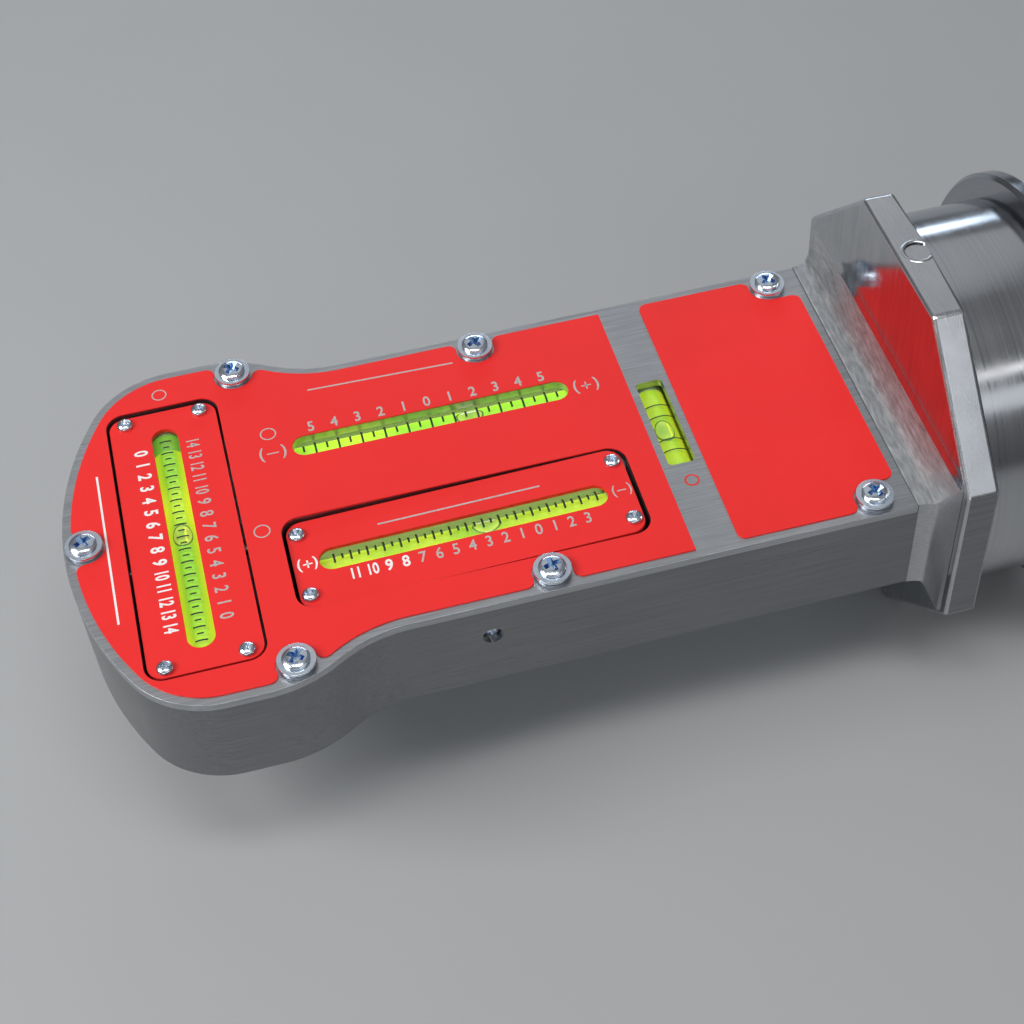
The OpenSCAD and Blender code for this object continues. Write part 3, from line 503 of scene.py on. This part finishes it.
def print_on(
    name, body, face, marks, lines=(), rings=(), ink=silver_ink, weight=0.018, signs=1.08
):
    """One face's print, in mm: figures at (x, y, turn), ruled lines and circles.

    Weight thickens the figures, and signs is how tall the brackets are beside them.
    """
    bm = bmesh.new()
    for text, x, y, turn in marks:
        squeeze = one_squeezed if len(text) == 1 else two_squeezed
        mesh = figure(text, figure_height * (signs if text in "()" else 1), squeeze, weight)
        mesh.transform(on_face(face, x, y, turn))
        bm.from_mesh(mesh)
        bpy.data.meshes.remove(mesh)
    for x, y, length, turn, width in lines:
        ruled_bar(bm, on_face(face, x, y, turn), length * MM, width * MM)
    for x, y, radius, width in rings:
        ruled_ring(bm, on_face(face, x, y), radius * MM, width * MM)
    bmesh.ops.recalc_face_normals(bm, faces=bm.faces)
    finished(bm, name, body, ink, smooth=30, weighted=False)


camber_step = 5.11
camber_middle = -131.37
camber_row = 20.5
camber_marks = [
    (str(abs(n)), camber_middle + n * camber_step, camber_row, 0) for n in range(-5, 6)
]
minus_line = [(-166.1, 15.05, 2.6, 0, 0.32)]
plus_lines = [(-97.0, 15.0, 2.2, 0, 0.32), (-97.0, 15.0, 2.2, 90, 0.32)]
minus_brackets = [("(", -168.6, 15.05, 0), (")", -163.6, 15.05, 0)]
plus_brackets = [("(", -99.4, 15.0, 0), (")", -94.6, 15.0, 0)]
face_rules = [(-139.5, 30.8, 32.4, -2.0, 0.4)]
head_rules = [(-203.3, -1.2, 40.8, 90, 0.45)]
face_rings = [(-166.2, 20.9, 1.62, 0.28), (-171.9, -5.8, 1.62, 0.28), (-187.4, 39.5, 1.5, 0.28)]
cover_rings = [(-83.4, -17.5, 1.4, 0.42)]
level_face = Matrix.Translation((0, 0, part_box("dial_face")[1].z))
cover_face = Matrix.Translation((0, 0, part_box("cover_plate")[1].z))
print_on(
    "face_print", "gauge", level_face, camber_marks + minus_brackets + plus_brackets,
    face_rules + minus_line + plus_lines, face_rings,
)
print_on("head_rule", "gauge", level_face, [], head_rules, ink=white_ink)
print_on("cover_ring", "gauge", cover_face, [], rings=cover_rings, ink=red_ink)


# ---------------------------------------------------------------- dial plates
# Two small red plates that tilt with their vials, each held by four screws.
# They carry the castor and kingpin scales.


def joint(name):
    """The CAD joint of that name."""
    return next(j for j in frame["joints"] if j["name"] == name)


def dial_place(dial):
    """A dial's own axes: X along its vial, Z out of its plate, from the pivot."""
    along = Vector(joint(f"{dial}_bubble_run")["axis"]).normalized()
    across = Vector((0, 0, 1)).cross(along).normalized()
    turned = Matrix((along, across, along.cross(across))).transposed().to_4x4()
    return Matrix.Translation(joint(f"{dial}_tilt")["pos_m"]) @ turned


dial_places = {dial: dial_place(dial) for dial in ("castor", "kingpin")}
# The plate's top lies 9.7 mm above the pivots. The scales are measured in mm.
plate_top = 9.7 * MM
scale_step = 3.47
castor_zero, castor_row = 14.35, -5.0
kingpin_top, outer_row, inner_row = 24.6, 5.7, -5.5


def castor_figures(begin, end):
    """The castor scale's figures between two readings, counted from its zero."""
    return [(str(abs(n)), castor_zero + n * scale_step, castor_row, 0) for n in range(begin, end)]


left_sign = [("(", -34.6, 0.1, 0), (")", -31.1, 0.1, 0)]
right_sign = [("(", 31.7, 0.0, 0), (")", 35.2, 0.0, 0)]
cross_lines = [(-32.8, 0.1, 2.0, 0, 0.34), (-32.8, 0.1, 2.0, 90, 0.34)]
plain_lines = [(0.2, 6.2, 34.5, 0, 0.4), (33.4, 0.0, 1.9, 0, 0.3)]
outer_column = [(str(n), kingpin_top - n * scale_step, outer_row, 180) for n in range(15)]
inner_column = [(str(14 - n), kingpin_top - n * scale_step, inner_row, 180) for n in range(15)]
dial_prints = {
    "castor": [
        ("silver", castor_figures(-7, 4) + right_sign, plain_lines, silver_ink, 0.012),
        ("white", castor_figures(-11, -7) + left_sign, cross_lines, white_ink, 0.024),
    ],
    "kingpin": [
        ("silver", inner_column, [], silver_ink, 0.014),
        ("white", outer_column, [], white_ink, 0.028),
    ],
}
for dial, place in dial_places.items():
    bm = merged_copy(f"{dial}_plate")
    round_off(bm, sharp_edges(bm, 40), 0.12 * MM, 2)
    finished(bm, f"{dial}_plate_enamel", f"{dial}_dial", red_enamel, [f"{dial}_plate"])
    face = place @ Matrix.Translation((0, 0, plate_top))
    for shade, marks, lines, ink, weight in dial_prints[dial]:
        print_on(
            f"{dial}_{shade}_print", f"{dial}_dial", face, marks, lines,
            ink=ink, weight=weight, signs=0.9,
        )
    frame["nodes"][f"{dial}_carrier"].data.materials[0] = satin_metal


# ---------------------------------------------------------------- vials
# Clear acrylic tubes filled with fluorescent spirit. Black rings or strokes
# are printed on each tube, and a bubble of air runs under its crown.

vial_radius = 4.5 * MM
spirit_radius = 3.6 * MM
spirit_end = 2.05 * MM
bubble_half = Vector((3.1, 2.2, 1000)) * MM
clear_green, sunlit_yellow = (0.2, 0.47, 0.012), (0.72, 0.8, 0.015)
# Pale green is painted light on the spirit's far side; the air colours paint the bubble's light and
# shade.
pale_green, shaded_green = (0.5, 0.66, 0.2), (0.1, 0.3, 0.02)
air_low, air_high, air_rim = (0.3, 0.52, 0.06), (0.48, 0.68, 0.08), (0.05, 0.16, 0.008)

acrylic = new_finish(
    "clear_acrylic", Base_Color=(0.6, 0.95, 0.25, 1), Roughness=0.03, Alpha=0.08, IOR=1.49
)[0]


def own_axes(tree, place, unit=(1, 1, 1)):
    """Coordinates along, across and out of a vial, measured in its own units."""
    outward = add(tree, "TexCoord").outputs["Object"]
    return add(
        tree, "Mapping", {"vector_type": "TEXTURE"}, Vector=outward,
        Location=place.translation, Rotation=place.to_euler(), Scale=unit,
    ).outputs[0]


def glowing(tree, shader, shade, strength):
    """The spirit glows in its own colour: partly its real fluorescence, partly painted light that
    lifts the shade in the slots.
    """
    tree.links.new(shade, shader.inputs["Base Color"])
    tree.links.new(shade, shader.inputs["Emission Color"])
    if isinstance(strength, bpy.types.NodeSocket):
        tree.links.new(strength, shader.inputs["Emission Strength"])
    else:
        shader.inputs["Emission Strength"].default_value = strength
    shader.inputs["Coat Weight"].default_value = 1.0
    shader.inputs["Coat Roughness"].default_value = 0.04


def spirit_finish(name, place, shaded_from, glow, pale_far_side):
    """Green spirit, yellow where the tube's sides gather light, dark at one end."""
    finish, tree, shader = new_finish(name, Roughness=0.16, IOR=1.4)
    axes = add(tree, "SeparateXYZ", Vector=own_axes(tree, place)).outputs
    beside = sums(tree, "ABSOLUTE", axes["Y"])
    side = spread(tree, beside, 0, 0.9, 0.42 * spirit_radius, 0.85 * spirit_radius)
    cloud = spread(tree, grain_of(tree, (42, 42, 42), detail=1), 0, 0.5, 0.4, 0.62)
    clear = blend_colour(tree, sums(tree, "ADD", side, cloud), clear_green, sunlit_yellow)
    # On the far side, in the cover's shadow, the spirit is painted pale and glows more: painted
    # light.
    if pale_far_side:
        far = spread(tree, axes["Y"], 0, 1, 0.5 * spirit_radius, 0.75 * spirit_radius)
        clear = blend_colour(tree, far, clear, pale_green)
        glow = sums(tree, "ADD", spread(tree, axes["Y"], 0, 0.55, 0, 0.4 * spirit_radius), glow)
    end = spread(tree, axes["X"], 0, 1, shaded_from, shaded_from + 0.3 * MM)
    glowing(tree, shader, blend_colour(tree, end, clear, shaded_green), glow)
    return finish


def air_finish(name, place, glint_at, glint_colour):
    """A bubble: dark where its rim bends the light, with one long glint.

    Places and lengths are shares of the bubble's half length and half width.
    """
    glint_half_width, glint_half_length = 0.1, 0.62
    finish, tree, shader = new_finish(name, Roughness=0.05, IOR=1.3)
    lens = own_axes(tree, place, bubble_half)
    reach = add(tree, "VectorMath", {"operation": "LENGTH"}, Vector=lens).outputs["Value"]
    axes = add(tree, "SeparateXYZ", Vector=lens).outputs
    # The lighter ring is painted light, the dark rim painted shade, the glint a painted highlight;
    # the bubble's glow is painted light too.
    middle = blend_colour(tree, spread(tree, reach, 0, 1, 0.3, 0.8), air_low, air_high)
    rim = blend_colour(tree, spread(tree, reach, 0, 1, 0.84, 0.9), middle, air_rim)
    glint = sums(tree, "COMPARE", axes["Y"], glint_at, glint_half_width)
    short = sums(tree, "LESS_THAN", sums(tree, "ABSOLUTE", axes["X"]), glint_half_length)
    lit = sums(tree, "MULTIPLY", glint, short)
    glowing(tree, shader, blend_colour(tree, lit, rim, glint_colour), 0.4)
    return finish


def plain_finish(name, rough, grain, dark, light):
    """A matt material, mottled between two colours."""
    finish, tree, shader = new_finish(name, Roughness=rough)
    coloured(tree, shader, grain_of(tree, (grain, grain, grain), detail=2), dark, light)
    return finish


black_ink = plain_finish("black_ink", 0.5, 3000, (0.01, 0.018, 0.01), (0.03, 0.045, 0.02))
white_plug = plain_finish("moulded_plug", 0.45, 200, (0.55, 0.62, 0.42), (0.68, 0.74, 0.5))


def wrap(verts, place, radius):
    """Bends flat geometry, drawn on the plane, round a tube along its X axis."""
    for vert in verts:
        angle = vert.co.y / radius
        reach = radius + vert.co.z
        vert.co = place @ Vector((vert.co.x, reach * math.sin(angle), reach * math.cos(angle)))


def spirit_fill(name, body, place, length, finish):
    """The coloured spirit between a vial's end plugs."""
    bm = bmesh.new()
    bmesh.ops.create_cone(
        bm, cap_ends=True, segments=48, radius1=spirit_radius, radius2=spirit_radius,
        depth=length - 2 * spirit_end, matrix=place @ Matrix.Rotation(math.pi / 2, 4, "Y"),
    )
    bmesh.ops.recalc_face_normals(bm, faces=bm.faces)
    finished(bm, name, body, finish, weighted=False)


def air_bubble(name, node, place, reading, finish):
    """A flat bubble of air under the crown of its vial."""
    half_thick, rise = 0.16 * MM, 0.01 * MM
    bm = bmesh.new()
    bmesh.ops.create_uvsphere(bm, u_segments=48, v_segments=16, radius=1)
    bmesh.ops.scale(bm, verts=bm.verts, vec=(bubble_half.x, bubble_half.y, half_thick))
    bmesh.ops.translate(bm, verts=bm.verts, vec=(reading, 0, rise))
    wrap(bm.verts, place, spirit_radius)
    bmesh.ops.recalc_face_normals(bm, faces=bm.faces)
    finished(bm, name, node, finish, [node], weighted=False)


def vial_marks(name, body, place, strokes, width):
    """Strokes printed across a tube: (place along it, half its length), in mm."""
    rise, thick = 0.015 * MM, 0.02 * MM
    bm = bmesh.new()
    for x, half in strokes:
        grid = bmesh.ops.create_grid(bm, x_segments=1, y_segments=10, size=0.5)["verts"]
        bmesh.ops.scale(bm, verts=grid, vec=(width, 2 * half * MM, 1))
        bmesh.ops.translate(bm, verts=grid, vec=(x * MM, 0, rise))
        wrap(grid, place, vial_radius)
    bmesh.ops.solidify(bm, geom=bm.faces, thickness=thick)
    bmesh.ops.recalc_face_normals(bm, faces=bm.faces)
    finished(bm, name, body, black_ink, weighted=False)


def box_middle(node):
    """The middle of a node's box."""
    low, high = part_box(node)
    return (low + high) / 2


# Each dial's vial lies in its carrier, 4.1 mm above the pivots.
dial_vial = Matrix.Translation((0, 0.3 * MM, 4.1 * MM))
castor_vial_turn = Matrix.Rotation(math.radians(-13), 4, "X")
camber_place = Matrix.Translation(box_middle("camber_vial"))
level_place = Matrix.Translation(box_middle("level_vial")) @ Matrix.Rotation(math.pi / 2, 4, "Z")
long_vial, short_vial = 65 * MM, 29 * MM


def strokes_in_turn(step, ends, shift, long, short):
    """Long and short strokes in turn: (place along the vial, half its length), in mm."""
    return [(n * step / 2 + shift, short if n % 2 else long) for n in range(-ends, ends + 1)]


camber_shift, castor_shift = 0.03, 0.46
camber_strokes = strokes_in_turn(camber_step, 11, camber_shift, 1.6, 0.85)
castor_strokes = strokes_in_turn(scale_step, 16, castor_shift, 1.6, 0.85)
kingpin_strokes = strokes_in_turn(scale_step, 16, 0, 1.3, 0.68)
level_rings = [(-6.5, 4.4), (-3.3, 4.4), (3.5, 4.4), (6.9, 4.4)]
pale_glint, yellow_glint = (0.92, 0.96, 0.9), (0.85, 0.88, 0.05)
no_shade, kingpin_shade = 100 * MM, 25.6 * MM
vials = {
    "camber": {
        "body": "gauge", "place": camber_place, "length": long_vial, "reading": 8.5,
        "strokes": camber_strokes, "stroke_width": 0.45, "pale_far_side": True,
        "glint_at": 0.5, "glint": pale_glint, "shaded_from": no_shade, "glow": 1.2,
    },
    "castor": {
        "body": "castor_dial", "place": dial_places["castor"] @ dial_vial @ castor_vial_turn,
        "length": long_vial, "reading": 4.7,
        "strokes": castor_strokes, "stroke_width": 0.45, "pale_far_side": True,
        "glint_at": 0.5, "glint": pale_glint, "shaded_from": no_shade, "glow": 0.45,
    },
    "kingpin": {
        "body": "kingpin_dial", "place": dial_places["kingpin"] @ dial_vial,
        "length": long_vial, "reading": 1.1,
        "strokes": kingpin_strokes, "stroke_width": 0.4, "pale_far_side": False,
        "glint_at": -0.3, "glint": yellow_glint, "shaded_from": kingpin_shade, "glow": 0.8,
    },
    "level": {
        "body": "gauge", "place": level_place, "length": short_vial, "reading": 0,
        "strokes": level_rings, "stroke_width": 0.32, "pale_far_side": False,
        "glint_at": -0.5, "glint": yellow_glint, "shaded_from": no_shade, "glow": 0.55,
    },
}
for name, vial in vials.items():
    body, place, reading = vial["body"], vial["place"], vial["reading"] * MM
    frame["nodes"][f"{name}_vial"].data.materials[0] = acrylic
    frame["nodes"][f"{name}_vial_plugs"].data.materials[0] = white_plug
    spirit = spirit_finish(
        f"{name}_spirit", place, vial["shaded_from"], vial["glow"], vial["pale_far_side"]
    )
    spirit_fill(f"{name}_spirit", body, place, vial["length"], spirit)
    vial_marks(f"{name}_vial_marks", body, place, vial["strokes"], vial["stroke_width"] * MM)
    crown = place @ Matrix.Translation((reading, 0, 0))
    air = air_finish(f"{name}_air", crown, vial["glint_at"], vial["glint"])
    air_bubble(f"{name}_bubble_of_air", f"{name}_bubble", place, reading, air)


# ---------------------------------------------------------------- screws and washers
# Zinc-plated pan-head screws with a cross recess hold the cover through plain
# and spring washers. The smaller ones hold the dial plates.

fine_grain = (900, 900, 900)
# The zinc's blue tint is partly the plating's own colour and partly a painted reflection of a blue
# sky.
zinc = brushed_finish(
    "bright_zinc", (0.76, 0.83, 0.92), 0.13, fine_grain, 0.006 * MM, shade=0.85, smudge=0.2
)
# Inside the cover screws' recesses the zinc is painted darker and bluer: painted shade and painted
# reflection.
shaded_recess_zinc = brushed_finish("zinc_recess_painted_shade", (0.3, 0.46, 0.72), 0.16, fine_grain, 0.006 * MM)
for node in ("castor_pivot_screw", "kingpin_pivot_screw", "housing_screws", "face_ring_screws"):
    frame["nodes"][node].data.materials[0] = zinc
for node in ("cover_plain_washers", "cover_spring_washers"):
    bm = merged_copy(node)
    round_off(bm, sharp_edges(bm, 40), 0.14 * MM, 2)
    finished(bm, f"{node}_tumbled", "gauge", zinc, [node])


def turned(bm, profile):
    """Spins a profile of (radius, height) points round the Z axis."""
    points = [bm.verts.new((r, 0, z)) for r, z in profile]
    edges = [bm.edges.new(pair) for pair in zip(points, points[1:])]
    bmesh.ops.spin(
        bm, geom=points + edges, cent=(0, 0, 0), axis=(0, 0, 1), angle=math.tau, steps=32,
        use_merge=True,
    )


def cross_screw(head_d, head_h, shank_d, shank_l, recess, deep):
    """A pan-head screw's mesh, its seat at z = 0, with a tapered cross recess."""
    crown = head_h * 0.66
    edge = head_h - crown
    radius, shank = head_d / 2, shank_d / 2
    dome_angles = [math.radians(5 + 15 * k) for k in range(6)]
    dome = [(radius * math.sin(a), edge + crown * math.cos(a)) for a in dome_angles]
    profile = [(0, head_h), *dome, (radius, edge), (radius, 0.1 * head_h), (radius * 0.96, 0)]
    profile += [(shank, 0), (shank, -shank_l * 0.95), (shank * 0.8, -shank_l), (0, -shank_l)]
    blade_width, blade_tip = recess * 0.27, (0.22, 0.5, 0.5)
    bm = bmesh.new()
    turned(bm, profile)
    bmesh.ops.remove_doubles(bm, verts=bm.verts, dist=0.001 * MM)
    bmesh.ops.recalc_face_normals(bm, faces=bm.faces)
    mesh = bpy.data.meshes.new("screw")
    bm.to_mesh(mesh)
    bm.free()
    body = bpy.data.objects.new("screw", mesh)
    scene.collection.objects.link(body)
    for turn in (0, 90):
        bm = bmesh.new()
        bmesh.ops.create_cube(bm, size=1, matrix=Matrix.Diagonal((recess, blade_width, 2 * deep, 1)))
        bottom = [v for v in bm.verts if v.co.z < 0]
        bmesh.ops.scale(bm, verts=bottom, vec=blade_tip)
        bmesh.ops.translate(bm, verts=bm.verts, vec=(0, 0, head_h - deep / 2))
        bmesh.ops.rotate(bm, verts=bm.verts, matrix=Matrix.Rotation(math.radians(turn), 3, "Z"))
        blade_mesh = bpy.data.meshes.new("driver_blade")
        bm.to_mesh(blade_mesh)
        bm.free()
        blade = bpy.data.objects.new("driver_blade", blade_mesh)
        scene.collection.objects.link(blade)
        cut = body.modifiers.new("cut", "BOOLEAN")
        cut.object = blade
        cut.solver = "EXACT"
        cut.operation = "DIFFERENCE"
        bpy.context.view_layer.update()
        whole = body.evaluated_get(bpy.context.evaluated_depsgraph_get())
        cut_mesh = bpy.data.meshes.new_from_object(whole)
        body.modifiers.clear()
        body.data = cut_mesh
        bpy.data.objects.remove(blade)
    made = body.data
    bpy.data.objects.remove(body)
    # Recess faces take the second finish, which is painted shade on the cover screws.
    for face in made.polygons:
        reach = face.center.xy.length
        dome_z = edge + crown * math.sqrt(max(0, 1 - (reach / radius) ** 2))
        in_recess = 0 < face.center.z < dome_z - 0.1 * MM and reach < recess / 2
        face.material_index = 1 if in_recess else 0
    return made


def set_screws(name, node, body, screw, places, inside):
    """Copies of a screw at their places, each driven home at its own angle."""
    bm = bmesh.new()
    for place in places:
        one = screw.copy()
        one.transform(place @ Matrix.Rotation(driven.uniform(0, math.tau), 4, "Z"))
        bm.from_mesh(one)
        bpy.data.meshes.remove(one)
    finished(bm, name, body, [zinc, inside], [node], smooth=28)


driven = random.Random(7)
cover_screw = cross_screw(
    head_d=5.7 * MM, head_h=1.2 * MM, shank_d=3 * MM, shank_l=8.7 * MM, recess=5.2 * MM,
    deep=1.3 * MM,
)
cover_screw_seat = 12.8 * MM
cover_screw_spots = [
    (-207.9, 0), (-170.8, 40.8), (-170.8, -40.8), (-117.5, 33), (-117.5, -33),
    (-49.4, 33), (-49.4, -33),
]
seats = [Matrix.Translation((x * MM, y * MM, cover_screw_seat)) for x, y in cover_screw_spots]
set_screws("cross_screws", "cover_screws", "gauge", cover_screw, seats, shaded_recess_zinc)
plate_screw = cross_screw(
    head_d=3.5 * MM, head_h=1.3 * MM, shank_d=1.9 * MM, shank_l=5 * MM, recess=3.3 * MM,
    deep=1.0 * MM,
)
plate_screw_x, plate_screw_y = 33.65 * MM, 8.1 * MM
for dial, place in dial_places.items():
    spots = [
        place @ Matrix.Translation((sx * plate_screw_x, sy * plate_screw_y, plate_top))
        for sx in (-1, 1) for sy in (-1, 1)
    ]
    set_screws(
        f"{dial}_cross_screws", f"{dial}_plate_screws", f"{dial}_dial", plate_screw, spots, zinc
    )


# ---------------------------------------------------------------- adjusters
# Knurled brass bolts under the arm tilt the dials through square nuts; nylon
# washers under their heads and return springs keep them where they are set.

brass = brushed_finish("drawn_brass", (0.72, 0.5, 0.2), 0.24, (700, 700, 700), 0.01 * MM)
spring_steel = brushed_finish("spring_wire", (0.34, 0.34, 0.35), 0.3, fine_grain, 0.01 * MM)
nylon = plain_finish("nylon", 0.5, 300, (0.7, 0.69, 0.64), (0.8, 0.79, 0.75))
for dial in dial_places:
    for part in ("adjusting_bolt", "pusher_nut"):
        frame["nodes"][f"{dial}_{part}"].data.materials[0] = brass
    for part in ("bolt_clip", "return_spring", "pivot_pin"):
        frame["nodes"][f"{dial}_{part}"].data.materials[0] = spring_steel
frame["nodes"]["bolt_friction_washers"].data.materials[0] = nylon


# ---------------------------------------------------------------- magnetic head
# A turned steel cup holds a ring magnet round an inner pole; a polished ring
# closes its face, and a sprung pin in the middle finds the hub's centre.


def turned_finish(name, colour, rough, pitch, depth):
    """Metal turned on a lathe: rings of tool marks round the X axis."""
    finish, tree, shader = new_finish(name, Metallic=1.0)
    place = add(tree, "TexCoord").outputs["Object"]
    axes = add(tree, "SeparateXYZ", Vector=place).outputs
    squares = [sums(tree, "MULTIPLY", axes[way], axes[way]) for way in ("Y", "Z")]
    radius = sums(tree, "POWER", sums(tree, "ADD", *squares), 0.5)
    rings = add(tree, "CombineXYZ", X=axes["X"], Y=radius).outputs[0]
    noise = add(tree, "TexNoise", Vector=rings, Scale=pitch, Detail=5.0, Roughness=0.7)
    marks = noise.outputs["Fac"]
    cloud = grain_of(tree, (60, 60, 60), detail=3)
    coloured(tree, shader, spread(tree, marks, 0, 1), tuple(c * 0.8 for c in colour), colour)
    bands = spread(tree, marks, rough, rough + 0.1)
    uneven = sums(tree, "ADD", bands, spread(tree, cloud, 0, 0.06))
    tree.links.new(uneven, shader.inputs["Roughness"])
    raise_grain(tree, shader, marks, depth)
    return finish


def pitted_finish(name, colour, rough, grit, depth):
    """A sintered surface: small pits instead of tool marks."""
    finish, tree, shader = new_finish(name, Metallic=1.0)
    pits = grain_of(tree, (grit, grit, grit), detail=6, roughness=0.7)
    dark = tuple(c * 0.6 for c in colour)
    coloured(tree, shader, spread(tree, pits, 0, 1), dark, colour)
    tree.links.new(spread(tree, pits, rough + 0.15, rough), shader.inputs["Roughness"])
    raise_grain(tree, shader, pits, depth)
    return finish


steel = turned_finish("turned_steel", (0.52, 0.53, 0.55), 0.09, 2200, 0.006 * MM)
chrome = turned_finish("polished_ring", (0.42, 0.43, 0.46), 0.08, 3000, 0.004 * MM)
magnet = pitted_finish("ferrite_magnet", (0.05, 0.05, 0.055), 0.5, 700, 0.05 * MM)
head_finishes = {
    "magnet_housing": steel, "inner_pole": steel, "spring_seat_plug": steel,
    "face_ring": chrome, "centring_pin": chrome, "separator_ring": brass,
    "ring_magnet": magnet, "centring_spring": spring_steel,
}
for node, finish in head_finishes.items():
    frame["nodes"][node].data.materials[0] = finish
